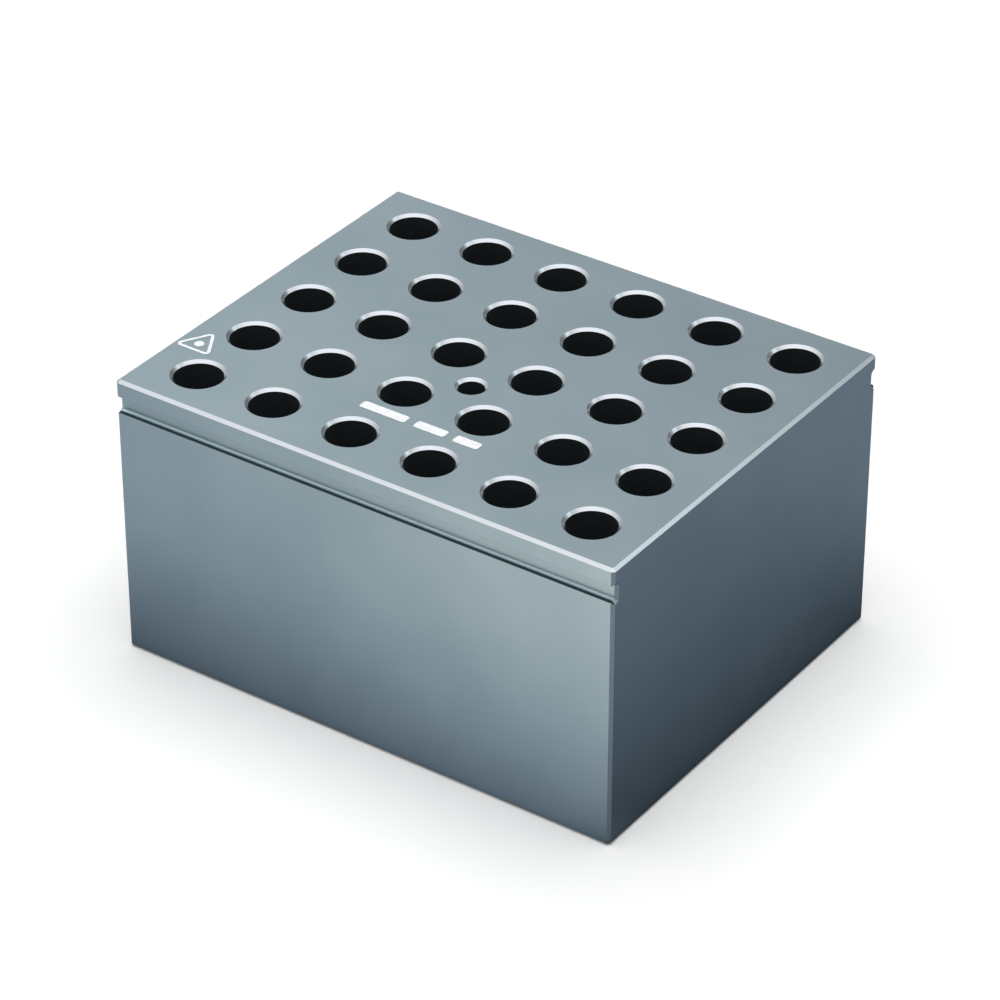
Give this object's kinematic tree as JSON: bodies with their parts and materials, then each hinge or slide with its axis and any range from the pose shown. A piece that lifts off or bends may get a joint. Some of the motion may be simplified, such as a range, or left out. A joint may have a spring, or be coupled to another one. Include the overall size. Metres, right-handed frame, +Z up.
{
  "type": "dry block heater tube block",
  "caption": "Machined aluminium block that holds small conical tubes upright in rows of tapered pockets, with a probe hole and a lifting groove along each long side.",
  "frame": {"origin": "centre of the base, on the surface it stands on", "axes": "+X along the long grooved sides, +Y from the front long side to the back one, +Z up, out of the pockets"},
  "size_m": [0.095, 0.076, 0.0514],
  "materials": {
    "anodised_aluminium": "satin, clear anodised over a fine blasted surface",
    "white_ink": "matt screen-printed ink"
  },
  "bodies": {
    "root": {"block": "anodised_aluminium", "print_sign": "white_ink", "print_bar_left": "white_ink", "print_bar_middle": "white_ink", "print_bar_right": "white_ink"}
  },
  "joints": []
}
